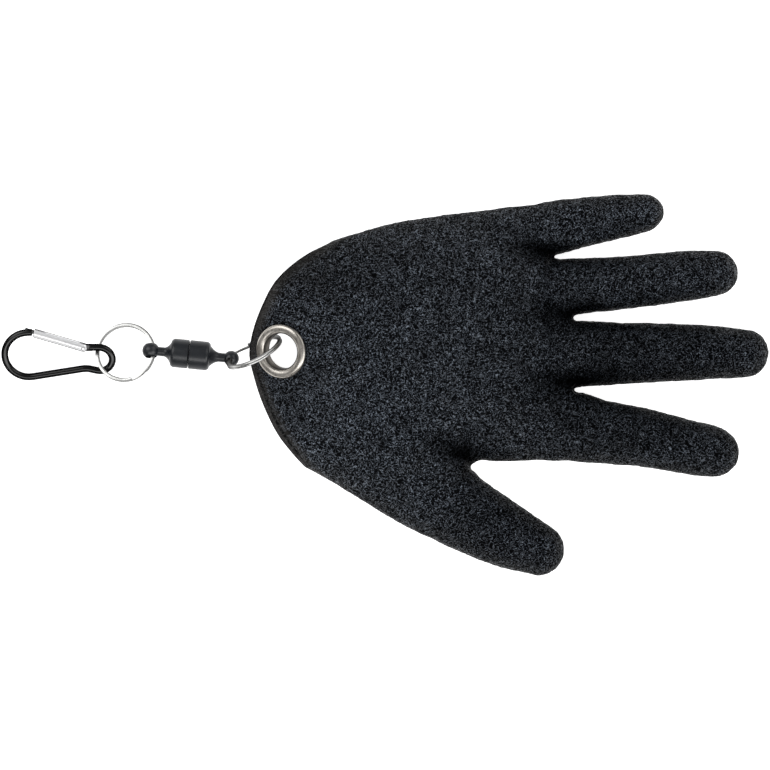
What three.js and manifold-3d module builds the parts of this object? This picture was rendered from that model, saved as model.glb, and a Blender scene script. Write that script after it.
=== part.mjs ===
// Fishing glove that lies palm up on a table, with the hardware that clips it to a belt or a vest.
// Millimetres, +Z up. +X runs from the wrist edge to the fingertips, and +Y to the little finger.
import * as THREE from 'three';
import { mergeVertices } from 'three/addons/utils/BufferGeometryUtils.js';
import Module from 'manifold-3d';

const wasm = await Module();
wasm.setup();

const { degToRad, lerp, smoothstep, clamp } = THREE.MathUtils;

// Glove
const palmLength = 150; // wrist edge to the crotches of the fingers
const palmBreadth = 117.5; // across the knuckles
const palmHeight = 25;
const clothWall = 1.8; // knit liner with its rubber coat
const sideShare = 0.27; // height of the side fold, as a share of the local height
const bedSink = 1; // how far the underside is pressed flat where it rests
const stationGap = 7.5; // longest step between two palm sections
const palmSides = 28;
const fingerSides = 14;
const capSteps = 4;
const sideSquareness = 0.84; // exponents of a cloth section: below one is squarer than an ellipse
const topSquareness = 0.96;
const undersideSquareness = 0.5;

// Mouth, between the tongue that holds the eyelet and the cut-back layer under it
const mouthBreadth = 100;
const mouthDepth = 34;
const backEdgeSetBack = 43; // wrist edge to the edge of the lower layer
const backEdgeHeight = 5.2;
const edgeSamples = 30;

// Eyelet
const eyeletInset = 14.9; // wrist edge to the middle of the eyelet
const eyeletHeight = 16.5;
const eyeletTilt = 25; // degrees that it faces the wrist
const eyeletRoll = 8; // degrees that it faces the thumb side
const eyeletHole = 16;
const eyeletFlange = 24.6;
const eyeletDome = 1.7;
const barrelWall = 0.5;
const washerThickness = 0.7;
const curlWidth = 0.8;
const eyeletSides = 28;
const flatMargin = 5; // flat cloth round the flange
const flatSpread = 26; // cloth that leads from the flat to the palm

// Split rings
const ringDiameter = 27.4;
const ringBand = 1.7;
const coilThickness = 0.85;
const coilGap = 0.1;
const ringRamp = 26; // degrees in which the wire climbs from one coil to the other
const ringEndGap = 4; // degrees between the ramp and each wire end
const ringSteps = 54;
const gloveRingLean = 18; // degrees from upright
const gloveRingYaw = 27;
const gloveRingSplit = -113; // degrees round the ring to the wire's ends
const ringInEyelet = { x: -0.9, y: 4.4 }; // where its wire crosses the eyelet's hole
const clipRingTilt = 17.2; // degrees from flat
const clipRingYaw = 27;
const clipRingSplit = 86;
const floorGap = 0.3;

// Magnetic release
const releaseDiameter = 13;
const gloveHalfLength = 9.3;
const clipHalfLength = 8.1;
const releaseYaw = -5.6;
const releaseChamfer = 1.8;
const neckDiameter = 4.1;
const gloveFlareLength = 4.6; // from the body's end down to the neck
const clipFlareLength = 3;
const flareSteps = 3;
const gloveEyeBall = 7;
const clipEyeBall = 7.7;
const gloveNeckReach = 9.7; // body to the middle of the eye ball
const clipNeckReach = 9;
const gloveEyeHole = 4.3;
const clipEyeHole = 5.1;
const clipRingSlack = 1.2; // how far the clip's ring is pulled towards the neck in its eye
const magnetDiameter = 9;
const magnetDepth = 3;
const seamGap = 0.35;
const releaseSides = 18;
const ballSteps = 5;
const eyeHoleSides = 14;

// Carabiner, in its own plane
const rodDiameter = 3.2;
const bigBendRadius = 10.8;
const smallLoopRadius = 5.8;
const loopSpacing = 32.3; // middle of the big bend to the middle of the small loop, along
const loopDrop = 2.1; // and across
const noseReach = 2; // how far the rod runs past the top of the big bend
const kinkRise = 1.5; // how far the spine stands above the small loop's lowest point
const kinkSetBack = 6.2;
const carabinerTilt = 21;
const loopOnRing = 194; // degrees round the clip's ring where the small loop hangs
const loopSlack = 1; // how far the ring's wire lies past the middle of the small loop
const rodSteps = 46;
const rodSides = 8;
const smallArcSteps = 6;
const bigArcSteps = 8;
const gateDiameter = 4.2;
const pivotSetBack = 7.4; // middle of the small loop to the pivot
const pivotRise = 5.7;
const rivetDiameter = 1.5;
const tongueThickness = 1.3;
const pivotTongueWidth = 3.2;
const noseTongueWidth = 1.5;
const noseTongueLength = 3.4;
const pivotSlotDepth = 6.6;
const noseSlotDepth = 5;
const noseTongueFoot = -0.4; // inner face of the nose tongue, outwards from the gate's axis
const gateSides = 18;
const gateEndSteps = 4;
const rivetSides = 14;

const clearance = 0.3;
const cutMargin = 2; // how far a cutting tool runs past what it cuts

// Palm sections: along is a share of palmLength, upper and lower of palmBreadth, height of palmHeight.
const palmSections = [
  { along: -0.05, upper: 0.32, lower: -0.35, height: 0.66 },
  { along: 0.045, upper: 0.347, lower: -0.397, height: 0.72 },
  { along: 0.129, upper: 0.373, lower: -0.424, height: 0.79 },
  { along: 0.204, upper: 0.403, lower: -0.47, height: 0.86 },
  { along: 0.279, upper: 0.439, lower: -0.527, height: 0.92 },
  { along: 0.369, upper: 0.473, lower: -0.598, height: 0.97 },
  { along: 0.459, upper: 0.5, lower: -0.665, height: 1 },
  { along: 0.55, upper: 0.519, lower: -0.722, height: 1 },
  { along: 0.598, upper: 0.527, lower: -0.715, height: 0.98 },
  { along: 0.63, upper: 0.532, lower: -0.6, height: 0.97 },
  { along: 0.662, upper: 0.537, lower: -0.437, height: 0.96 },
  { along: 0.73, upper: 0.547, lower: -0.425, height: 0.93 },
  { along: 0.8, upper: 0.558, lower: -0.423, height: 0.88 },
  { along: 0.85, upper: 0.563, lower: -0.42, height: 0.81 },
  { along: 0.88, upper: 0.52, lower: -0.421, height: 0.76 },
  { along: 0.9, upper: 0.365, lower: -0.423, height: 0.72 },
  { along: 0.94, upper: 0.34, lower: -0.424, height: 0.66 },
  { along: 0.972, upper: 0.28, lower: -0.39, height: 0.6 },
];

// Dents in the palm side: the place as shares of palmLength and palmBreadth, reach, spread and depth
// as shares of palmHeight, heading in degrees.
const palmDents = [
  { along: 0.9, across: 0.39, heading: -14, reach: 0.8, spread: 0.32, depth: 0.2 },
  { along: 0.96, across: 0.12, heading: -4, reach: 0.8, spread: 0.36, depth: 0.17 },
  { along: 0.96, across: -0.135, heading: 4, reach: 0.8, spread: 0.36, depth: 0.17 },
  { along: 0.63, across: -0.4, heading: 32, reach: 0.9, spread: 0.32, depth: 0.2 },
  { along: 0.5, across: -0.2, heading: 40, reach: 1.9, spread: 0.8, depth: 0.12 },
];

// Fingers: root and heading place the straight line to the tip. Their length is a share of palmLength,
// width of palmBreadth and height of palmHeight. In their rows along is a share of the length, bend and
// breadth of the width, and height of the finger's height.
const fingers = [
  {
    root: { along: 0.76, across: 0.435 },
    heading: 9.5,
    length: 0.497,
    width: 0.1855,
    height: 0.54,
    rows: [
      { along: 0, bend: 0, breadth: 1, height: 0.8 },
      { along: 0.28, bend: 0.03, breadth: 1.13, height: 1 },
      { along: 0.48, bend: 0.04, breadth: 1.05, height: 1 },
      { along: 0.7, bend: 0.05, breadth: 0.94, height: 0.98 },
      { along: 0.87, bend: 0.03, breadth: 0.8, height: 0.95 },
    ],
  },
  {
    root: { along: 0.8, across: 0.235 },
    heading: 4.8,
    length: 0.673,
    width: 0.2077,
    height: 0.58,
    rows: [
      { along: 0, bend: 0, breadth: 0.95, height: 0.8 },
      { along: 0.26, bend: -0.02, breadth: 1.06, height: 1 },
      { along: 0.5, bend: -0.03, breadth: 0.98, height: 1 },
      { along: 0.75, bend: 0, breadth: 0.95, height: 0.98 },
      { along: 0.9, bend: 0, breadth: 0.84, height: 0.94 },
    ],
  },
  {
    root: { along: 0.8, across: -0.008 },
    heading: 0,
    length: 0.763,
    width: 0.2298,
    height: 0.62,
    rows: [
      { along: 0, bend: 0, breadth: 0.95, height: 0.8 },
      { along: 0.26, bend: 0, breadth: 1.12, height: 1 },
      { along: 0.42, bend: 0, breadth: 1.04, height: 1 },
      { along: 0.76, bend: 0.02, breadth: 0.92, height: 0.98 },
      { along: 0.91, bend: 0, breadth: 0.82, height: 0.94 },
    ],
  },
  {
    root: { along: 0.8, across: -0.262 },
    heading: -9.6,
    length: 0.683,
    width: 0.2417,
    height: 0.62,
    rows: [
      { along: 0, bend: 0, breadth: 0.95, height: 0.8 },
      { along: 0.27, bend: 0.05, breadth: 1.12, height: 1 },
      { along: 0.385, bend: 0.03, breadth: 1.02, height: 1 },
      { along: 0.56, bend: 0.06, breadth: 0.95, height: 1 },
      { along: 0.74, bend: 0.03, breadth: 0.875, height: 0.98 },
      { along: 0.87, bend: 0.02, breadth: 0.83, height: 0.94 },
    ],
  },
  {
    root: { along: 0.46, across: -0.46 },
    heading: -27,
    length: 0.55,
    width: 0.2809,
    height: 0.68,
    rows: [
      { along: 0, bend: -0.03, breadth: 0.95, height: 0.95 },
      { along: 0.306, bend: -0.086, breadth: 1.12, height: 1.1 },
      { along: 0.41, bend: -0.12, breadth: 1.045, height: 1.08 },
      { along: 0.54, bend: -0.132, breadth: 0.98, height: 1.04 },
      { along: 0.67, bend: -0.137, breadth: 0.9, height: 1 },
      { along: 0.8, bend: -0.125, breadth: 0.79, height: 0.96 },
      { along: 0.86, bend: -0.11, breadth: 0.73, height: 0.92 },
    ],
  },
];

// Dome of the eyelet's flange: out is a share from the hole to the rim, rise a share of eyeletDome.
const flangeDome = [
  { out: 0.75, rise: 0.85 },
  { out: 0.45, rise: 1 },
  { out: 0.15, rise: 0.8 },
];

// Edge of the tongue: inward is a share of mouthDepth and across of mouthBreadth.
const tongueEdge = [
  { inward: 1.35, across: 0.6 },
  { inward: 1.12, across: 0.502 },
  { inward: 0.73, across: 0.43 },
  { inward: 0.37, across: 0.322 },
  { inward: 0.17, across: 0.2 },
  { inward: 0.05, across: 0.09 },
  { inward: 0, across: -0.01 },
  { inward: 0.04, across: -0.085 },
  { inward: 0.16, across: -0.218 },
  { inward: 0.36, across: -0.362 },
  { inward: 0.57, across: -0.458 },
  { inward: 0.76, across: -0.53 },
  { inward: 1, across: -0.62 },
];

// Edge of the lower layer: inward is a share of backEdgeSetBack and across of mouthBreadth.
const backEdge = [
  { inward: 0.98, across: 0.62 },
  { inward: 0.94, across: 0.4 },
  { inward: 1, across: 0 },
  { inward: 0.84, across: -0.4 },
  { inward: 0.66, across: -0.66 },
];

// Booleans and meshes

function toSolid(geometry) {
  const bare = geometry.clone();
  bare.deleteAttribute('normal');
  bare.deleteAttribute('uv');
  const merged = mergeVertices(bare, 1e-4);
  const source = merged.index.array;
  const corners = [];
  for (let i = 0; i < source.length; i += 3) {
    const [a, b, c] = [source[i], source[i + 1], source[i + 2]];
    if (a !== b && b !== c && c !== a) {
      corners.push(a, b, c);
    }
  }
  const vertProperties = new Float32Array(merged.attributes.position.array);
  const triVerts = new Uint32Array(corners);
  return new wasm.Manifold(new wasm.Mesh({ numProp: 3, vertProperties, triVerts }));
}

function toGeometry(solid) {
  const mesh = solid.getMesh();
  const geometry = new THREE.BufferGeometry();
  geometry.setAttribute('position', new THREE.BufferAttribute(mesh.vertProperties, 3));
  geometry.setIndex(new THREE.BufferAttribute(mesh.triVerts, 1));
  const flat = geometry.toNonIndexed();
  flat.computeVertexNormals();
  return flat;
}

function namedMesh(name, solid, material) {
  const mesh = new THREE.Mesh(toGeometry(solid), material);
  mesh.name = name;
  return mesh;
}

// Closed skin over rings of points. The first end closes to the middle of its ring, the last to a tip.
function loft(rings, tip) {
  const sides = rings[0].length;
  const points = rings.flat();
  const corners = [];
  for (let r = 0; r + 1 < rings.length; r += 1) {
    for (let s = 0; s < sides; s += 1) {
      const next = (s + 1) % sides;
      const [a, b] = [r * sides + s, r * sides + next];
      const [c, d] = [a + sides, b + sides];
      corners.push(a, b, d, a, d, c);
    }
  }
  const middle = (ring) => ring.reduce((sum, p) => sum.add(p), new THREE.Vector3()).divideScalar(sides);
  const first = points.push(middle(rings[0])) - 1;
  const last = points.push(tip ?? middle(rings.at(-1))) - 1;
  const lastRing = (rings.length - 1) * sides;
  for (let s = 0; s < sides; s += 1) {
    const next = (s + 1) % sides;
    corners.push(first, next, s, last, lastRing + s, lastRing + next);
  }
  const geometry = new THREE.BufferGeometry().setFromPoints(points);
  geometry.setIndex(corners);
  return geometry;
}

function revolve(profile, segments) {
  const points = profile.map(([radius, height]) => new THREE.Vector2(radius, height));
  const geometry = new THREE.LatheGeometry(points, segments);
  geometry.rotateX(Math.PI / 2);
  return geometry;
}

function prism(outline, bottom, top) {
  const geometry = new THREE.ExtrudeGeometry(new THREE.Shape(outline), {
    depth: top - bottom,
    bevelEnabled: false,
  });
  geometry.translate(0, 0, bottom);
  return geometry;
}

function rod(radius, length, segments) {
  return new THREE.CylinderGeometry(radius, radius, length, segments).rotateX(Math.PI / 2);
}

// Smooth curve through the rows of a table, read at any place along it.
function readTable(rows, column, along) {
  const last = rows.length - 1;
  const place = clamp(along, rows[0].along, rows[last].along);
  let k = 0;
  while (k < last - 1 && rows[k + 1].along < place) {
    k += 1;
  }
  const share = (place - rows[k].along) / (rows[k + 1].along - rows[k].along);
  const span = rows[k + 1].along - rows[k].along;
  const slope = (i) => {
    const before = rows[Math.max(i - 1, 0)];
    const after = rows[Math.min(i + 1, last)];
    return (after[column] - before[column]) / (after.along - before.along);
  };
  const [p, q] = [rows[k][column], rows[k + 1][column]];
  const [m, n] = [slope(k) * span, slope(k + 1) * span];
  const bow = share * (1 - share);
  return lerp(p, q, smoothstep(share, 0, 1)) + bow * ((1 - share) * m - share * n);
}

// Glove

const upright = new THREE.Vector3(0, 0, 1);
const eyeletCentre = new THREE.Vector3(eyeletInset, 0, eyeletHeight);
const eyeletSlopeX = Math.tan(degToRad(eyeletTilt));
const eyeletSlopeY = Math.tan(degToRad(eyeletRoll));
const eyeletNormal = new THREE.Vector3(-eyeletSlopeX, -eyeletSlopeY, 1).normalize();
const eyeletTurn = new THREE.Quaternion().setFromUnitVectors(upright, eyeletNormal);

function eyeletPlane(x, y) {
  return eyeletHeight + (x - eyeletCentre.x) * eyeletSlopeX + (y - eyeletCentre.y) * eyeletSlopeY;
}

function power(value, exponent) {
  return Math.sign(value) * Math.abs(value) ** exponent;
}

// One point of a cloth section: lateral share from -1 to 1, share of the rise over the side fold, and
// height above the table.
function sectionPoint(turn, height, inset) {
  const lateral = power(Math.cos(turn), sideSquareness);
  const side = height * sideShare;
  if (Math.sin(turn) >= 0) {
    const rise = power(Math.sin(turn), topSquareness);
    return { lateral, rise, z: side + (height - inset - side) * rise };
  }
  const pressed = side + (side - inset + bedSink) * power(Math.sin(turn), undersideSquareness);
  return { lateral, rise: 0, z: Math.max(pressed, inset) };
}

function dentDepth(x, y) {
  let depth = 0;
  for (const dent of palmDents) {
    const heading = degToRad(dent.heading);
    const dx = x - dent.along * palmLength;
    const dy = y - dent.across * palmBreadth;
    const lengthwise = (dx * Math.cos(heading) + dy * Math.sin(heading)) / (dent.reach * palmHeight);
    const sideways = (dy * Math.cos(heading) - dx * Math.sin(heading)) / (dent.spread * palmHeight);
    depth += dent.depth * palmHeight * Math.exp(-(lengthwise ** 2) - sideways ** 2);
  }
  return depth;
}

// Deepest dent within a stretch across the palm: it keeps the hollow clear of a narrow dent.
function deepestDent(x, y, stretch) {
  return Math.max(dentDepth(x, y - stretch), dentDepth(x, y), dentDepth(x, y + stretch));
}

function palmRing(x, inset) {
  const reach = (column, sign) => {
    const places = [x - inset, x, x + inset];
    const shares = places.map((place) => sign * readTable(palmSections, column, place / palmLength));
    return sign * (Math.min(...shares) * palmBreadth - inset);
  };
  const upper = reach('upper', 1);
  const lower = reach('lower', -1);
  const height = readTable(palmSections, 'height', x / palmLength) * palmHeight;
  const ring = [];
  for (let s = 0; s < palmSides; s += 1) {
    const turn = (2 * Math.PI * s) / palmSides;
    const point = sectionPoint(turn, height, inset);
    const y = lerp(lower, upper, (point.lateral + 1) / 2);
    let z = point.z;
    if (Math.sin(turn) > 0) {
      const flat = eyeletFlange / 2 + flatMargin;
      const away = Math.hypot(x - eyeletCentre.x, y - eyeletCentre.y);
      const held = 1 - smoothstep(away, flat, flat + flatSpread);
      z = lerp(z - deepestDent(x, y, 2 * inset) * point.rise, eyeletPlane(x, y) - inset, held);
    }
    ring.push(new THREE.Vector3(x, y, z));
  }
  return ring;
}

// Places of the palm's sections: each row of the table, and steps between rows that lie far apart.
function palmStations() {
  const rows = palmSections.map((row) => row.along * palmLength);
  const stations = [];
  for (let k = 0; k + 1 < rows.length; k += 1) {
    const count = Math.ceil((rows[k + 1] - rows[k]) / stationGap);
    for (let step = 0; step < count; step += 1) {
      stations.push(lerp(rows[k], rows[k + 1], step / count));
    }
  }
  stations.push(rows.at(-1));
  return stations;
}

function palmSolid(inset) {
  const stations = palmStations();
  stations[0] -= inset;
  stations[stations.length - 1] -= inset;
  return toSolid(loft(stations.map((x) => palmRing(x, inset))));
}

function fingerRing(finger, place, breadth, height, lift, inset) {
  const heading = degToRad(finger.heading);
  const forward = new THREE.Vector2(Math.cos(heading), Math.sin(heading));
  const x = finger.root.along * palmLength + forward.x * place.along - forward.y * place.bend;
  const y = finger.root.across * palmBreadth + forward.y * place.along + forward.x * place.bend;
  const ring = [];
  for (let s = 0; s < fingerSides; s += 1) {
    const point = sectionPoint((2 * Math.PI * s) / fingerSides, height, inset);
    const side = (point.lateral * breadth) / 2;
    const z = point.z * lift.scale + lift.rise;
    ring.push(new THREE.Vector3(x - forward.y * side, y + forward.x * side, z));
  }
  return ring;
}

function fingerSolid(finger, inset) {
  const rows = finger.rows;
  const length = finger.length * palmLength;
  const width = finger.width * palmBreadth;
  const tall = finger.height * palmHeight;
  const level = { scale: 1, rise: 0 };
  const rings = [];
  for (let k = 0; k < rows.length; k += 1) {
    const row = rows[k];
    const place = { along: row.along * length, bend: row.bend * width };
    const breadth = row.breadth * width - 2 * inset;
    rings.push(fingerRing(finger, place, breadth, row.height * tall, level, inset));
    if (k + 1 < rows.length) {
      const along = (row.along + rows[k + 1].along) / 2;
      const bend = readTable(rows, 'bend', along) * width;
      const breadthThere = readTable(rows, 'breadth', along) * width - 2 * inset;
      const heightThere = readTable(rows, 'height', along) * tall;
      const between = { along: along * length, bend };
      rings.push(fingerRing(finger, between, breadthThere, heightThere, level, inset));
    }
  }
  const last = rows.at(-1);
  const start = last.along * length;
  const capLength = length - start - inset;
  const height = last.height * tall;
  for (let k = 1; k < capSteps; k += 1) {
    const turn = (Math.PI / 2) * (k / capSteps);
    const shrink = Math.cos(turn);
    const place = { along: start + capLength * Math.sin(turn), bend: last.bend * width };
    const breadth = (last.breadth * width - 2 * inset) * shrink;
    const lift = { scale: shrink, rise: height * sideShare * (1 - shrink) };
    rings.push(fingerRing(finger, place, breadth, height, lift, inset));
  }
  const tipPlace = { along: length - inset, bend: last.bend * width };
  const tipLift = { scale: 0, rise: height * sideShare };
  const tip = fingerRing(finger, tipPlace, 0, height, tipLift, inset)[0];
  return toSolid(loft(rings, tip));
}

function edgeOutline(rows, setBack) {
  const points = rows.map((row) => new THREE.Vector2(row.inward * setBack, row.across * mouthBreadth));
  const outline = new THREE.SplineCurve(points).getSpacedPoints(edgeSamples);
  const far = -palmLength;
  outline.push(new THREE.Vector2(far, outline.at(-1).y), new THREE.Vector2(far, outline[0].y));
  return outline;
}

function gloveSolid() {
  let outer = palmSolid(0);
  let inner = palmSolid(clothWall);
  for (const finger of fingers) {
    outer = outer.add(fingerSolid(finger, 0));
    inner = inner.add(fingerSolid(finger, clothWall));
  }
  const tongueCut = prism(edgeOutline(tongueEdge, mouthDepth), -cutMargin, palmHeight + cutMargin);
  const backCut = prism(edgeOutline(backEdge, backEdgeSetBack), -cutMargin, backEdgeHeight);
  const eyeletCut = rod(eyeletHole / 2 + barrelWall + clearance, 4 * clothWall, eyeletSides);
  eyeletCut.applyQuaternion(eyeletTurn);
  eyeletCut.translate(eyeletCentre.x, eyeletCentre.y, eyeletCentre.z);
  return outer
    .subtract(inner)
    .subtract(toSolid(tongueCut))
    .subtract(toSolid(backCut))
    .subtract(toSolid(eyeletCut));
}

// Eyelet, in its own frame: the cloth's upper face is at zero

function eyeletSolid() {
  const hole = eyeletHole / 2;
  const barrel = hole + barrelWall;
  const rim = eyeletFlange / 2;
  const foot = -(clothWall + washerThickness + 3 * clearance);
  return toSolid(revolve([
    [hole, foot - barrelWall],
    [barrel + curlWidth, foot - barrelWall],
    [barrel + curlWidth, foot],
    [barrel, foot],
    [barrel, clearance],
    [rim - barrelWall, clearance],
    [rim, clearance + barrelWall],
    ...flangeDome.map((row) => [lerp(hole, rim, row.out), clearance + row.rise * eyeletDome]),
    [hole, clearance],
    [hole, foot - barrelWall],
  ], eyeletSides));
}

function washerSolid() {
  const inside = eyeletHole / 2 + barrelWall + clearance;
  const outside = eyeletFlange / 2 - barrelWall;
  const top = -(clothWall + clearance);
  const bottom = top - washerThickness;
  return toSolid(revolve([
    [inside, bottom],
    [outside - barrelWall, bottom],
    [outside, lerp(bottom, top, 0.5)],
    [outside, top],
    [inside, top],
    [inside, bottom],
  ], eyeletSides));
}

// Split ring: flat wire in two turns, in its own frame round +Z

class SplitRingPath extends THREE.Curve {
  getPoint(share) {
    const skip = degToRad(ringRamp / 2 + ringEndGap);
    const turn = lerp(skip, 4 * Math.PI - skip, share);
    const radius = (ringDiameter - ringBand) / 2;
    const ramp = degToRad(ringRamp / 2);
    const pitch = coilThickness + coilGap;
    const climb = smoothstep(turn, 2 * Math.PI - ramp, 2 * Math.PI + ramp);
    return new THREE.Vector3(radius * Math.cos(turn), radius * Math.sin(turn), (climb - 0.5) * pitch);
  }
}

function splitRingSolid() {
  const [x, y] = [coilThickness / 2, ringBand / 2];
  const wire = new THREE.Shape([
    new THREE.Vector2(-x, -y),
    new THREE.Vector2(x, -y),
    new THREE.Vector2(x, y),
    new THREE.Vector2(-x, y),
  ]);
  const extrudePath = new SplitRingPath();
  const settings = { steps: ringSteps, extrudePath, bevelEnabled: false };
  return toSolid(new THREE.ExtrudeGeometry(wire, settings));
}

const ringRadius = (ringDiameter - ringBand) / 2;
const ringThickness = 2 * coilThickness + coilGap;

// Ring plane from its yaw and its tilt from flat: along and rise lie in it, facing is its axis.
function ringFrame(yaw, tilt) {
  const along = new THREE.Vector3(Math.cos(degToRad(yaw)), Math.sin(degToRad(yaw)), 0);
  const level = new THREE.Vector3(along.y, -along.x, 0);
  const rise = level.multiplyScalar(Math.cos(degToRad(tilt))).setZ(Math.sin(degToRad(tilt)));
  const facing = new THREE.Vector3().crossVectors(along, rise);
  const flatPart = (ringThickness / 2) * Math.cos(degToRad(tilt));
  const lowest = (ringDiameter / 2) * Math.sin(degToRad(tilt)) + flatPart;
  const point = (turn) => along.clone().multiplyScalar(ringRadius * Math.cos(turn))
    .addScaledVector(rise, ringRadius * Math.sin(turn));
  const turnAtHeight = (height) => Math.asin((height - lowest - floorGap) / (ringRadius * rise.z));
  const basis = new THREE.Matrix4().makeBasis(along, rise, facing);
  return { along, rise, facing, point, turnAtHeight, height: lowest + floorGap, basis };
}

const gloveRing = ringFrame(gloveRingYaw, 90 - gloveRingLean);
const crossing = new THREE.Vector3(
  eyeletCentre.x + ringInEyelet.x,
  eyeletCentre.y + ringInEyelet.y,
  eyeletPlane(eyeletCentre.x + ringInEyelet.x, eyeletCentre.y + ringInEyelet.y),
);
const gloveRingCentre = crossing.clone().sub(gloveRing.point(gloveRing.turnAtHeight(crossing.z)));

const releaseHeight = releaseDiameter / 2 + floorGap;
const gloveEyeTurn = Math.PI - gloveRing.turnAtHeight(releaseHeight);
const gloveEyeCentre = gloveRingCentre.clone().add(gloveRing.point(gloveEyeTurn));
const gloveEyeTangent = gloveRing.point(gloveEyeTurn + Math.PI / 2).normalize();

// Magnetic release, in its own frame: +X from the clip's eye to the glove's eye, zero at the seam

const releaseTurn = new THREE.Quaternion().setFromAxisAngle(upright, degToRad(releaseYaw));
const releaseAxis = new THREE.Vector3(1, 0, 0).applyQuaternion(releaseTurn);
const seamCentre = gloveEyeCentre.clone()
  .addScaledVector(releaseAxis, -(gloveHalfLength + gloveNeckReach + seamGap / 2));
const clipEyeCentre = seamCentre.clone()
  .addScaledVector(releaseAxis, -(clipHalfLength + clipNeckReach + seamGap / 2));

const clipRing = ringFrame(clipRingYaw, clipRingTilt);
const clipEyeTurn = clipRing.turnAtHeight(releaseHeight);
const clipRingCentre = clipEyeCentre.clone()
  .addScaledVector(releaseAxis, clipRingSlack)
  .sub(clipRing.point(clipEyeTurn));
const clipEyeTangent = clipRing.point(clipEyeTurn + Math.PI / 2).normalize();

function halfSolid({ length, flareLength, neckReach, ball, hole, tangent, side }) {
  const radius = releaseDiameter / 2;
  const neck = neckDiameter / 2;
  const near = seamGap / 2;
  const far = near + length;
  const ballRadius = ball / 2;
  const ballFoot = Math.sqrt(ballRadius ** 2 - neck ** 2);
  const pocket = magnetDiameter / 2 + clearance;
  const pocketFloor = near + magnetDepth + clearance;
  const profile = [
    [0, pocketFloor],
    [pocket, pocketFloor],
    [pocket, near],
    [radius - seamGap, near],
    [radius, near + seamGap],
    [radius, far - releaseChamfer],
    [radius - releaseChamfer / 3, far - releaseChamfer / 3],
    [radius - releaseChamfer, far],
  ];
  for (let k = 1; k <= flareSteps; k += 1) {
    const share = k / flareSteps;
    const swell = (radius - releaseChamfer - neck) * (1 - share) ** 2;
    profile.push([neck + swell, far + flareLength * share]);
  }
  const startAngle = Math.atan2(ballFoot, neck);
  for (let k = 0; k < ballSteps; k += 1) {
    const angle = lerp(-startAngle, Math.PI / 2, k / ballSteps);
    profile.push([ballRadius * Math.cos(angle), far + neckReach + ballRadius * Math.sin(angle)]);
  }
  profile.push([0, far + neckReach + ballRadius]);
  const body = revolve(profile, releaseSides);
  body.rotateY((side * Math.PI) / 2);
  const eye = rod(hole / 2, ball + cutMargin, eyeHoleSides);
  const local = tangent.clone().applyQuaternion(releaseTurn.clone().invert());
  eye.applyQuaternion(new THREE.Quaternion().setFromUnitVectors(upright, local));
  eye.translate(side * (far + neckReach), 0, 0);
  return toSolid(body).subtract(toSolid(eye));
}

function magnetSolid(side) {
  const disc = rod(magnetDiameter / 2, magnetDepth, releaseSides);
  disc.rotateY(Math.PI / 2);
  disc.translate(side * (seamGap / 2 + magnetDepth / 2), 0, 0);
  return toSolid(disc);
}

// Carabiner, in its own plane: zero at the middle of the small loop

const bigBendCentre = new THREE.Vector3(-loopSpacing, loopDrop, 0);
const pivot = new THREE.Vector3(-pivotSetBack, pivotRise, 0);
const noseEnd = new THREE.Vector3(bigBendCentre.x + noseReach, bigBendCentre.y + bigBendRadius, 0);
const gateLine = new THREE.Vector3().subVectors(noseEnd, pivot);
const gateHeading = gateLine.clone().normalize();
const gateLength = gateLine.length() - clearance - (rodDiameter / 2) * gateHeading.y;

function arcPoints(centre, radius, from, to, count) {
  const points = [];
  for (let k = 0; k <= count; k += 1) {
    const turn = degToRad(lerp(from, to, k / count));
    const x = centre.x + radius * Math.cos(turn);
    const y = centre.y + radius * Math.sin(turn);
    points.push(new THREE.Vector3(x, y, 0));
  }
  return points;
}

function turnTo(geometry, heading, place) {
  geometry.rotateZ(Math.atan2(heading.y, heading.x));
  geometry.translate(place.x, place.y, place.z);
  return geometry;
}

function carabinerSolid() {
  const shoulder = pivot.x + gateDiameter / 2 + 2 * clearance;
  const route = [
    new THREE.Vector3(shoulder, pivot.y, 0),
    ...arcPoints(new THREE.Vector3(0, 0, 0), smallLoopRadius, 90, -90, smallArcSteps),
    new THREE.Vector3(-kinkSetBack, kinkRise - smallLoopRadius, 0),
    ...arcPoints(bigBendCentre, bigBendRadius, -90, -270, bigArcSteps),
    noseEnd,
  ];
  const section = new THREE.Shape().absarc(0, 0, rodDiameter / 2, 0, 2 * Math.PI);
  const path = new THREE.CatmullRomCurve3(route, false, 'centripetal');
  const bar = new THREE.ExtrudeGeometry(section, {
    steps: rodSteps,
    curveSegments: rodSides / 2,
    extrudePath: path,
    bevelEnabled: false,
  });
  const tongueRoot = shoulder + tongueThickness;
  const pivotTongue = new THREE.BoxGeometry(tongueRoot - pivot.x, pivotTongueWidth, tongueThickness);
  pivotTongue.translate((tongueRoot + pivot.x) / 2, pivot.y, 0);
  const pivotEnd = rod(pivotTongueWidth / 2, tongueThickness, rivetSides).translate(pivot.x, pivot.y, 0);
  const pivotHole = rod(rivetDiameter / 2 + clearance, rodDiameter, rivetSides);
  pivotHole.translate(pivot.x, pivot.y, 0);
  const noseTongue = new THREE.BoxGeometry(2 * noseTongueLength, noseTongueWidth, tongueThickness);
  const outwards = new THREE.Vector3(gateHeading.y, -gateHeading.x, 0);
  const nosePlace = noseEnd.clone().addScaledVector(outwards, noseTongueFoot + noseTongueWidth / 2);
  turnTo(noseTongue, gateHeading, nosePlace);
  return toSolid(bar)
    .add(toSolid(pivotTongue))
    .add(toSolid(pivotEnd))
    .add(toSolid(noseTongue))
    .subtract(toSolid(pivotHole));
}

// Gate, in its own frame: zero at the pivot, +X to the nose, +Y inwards

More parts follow.
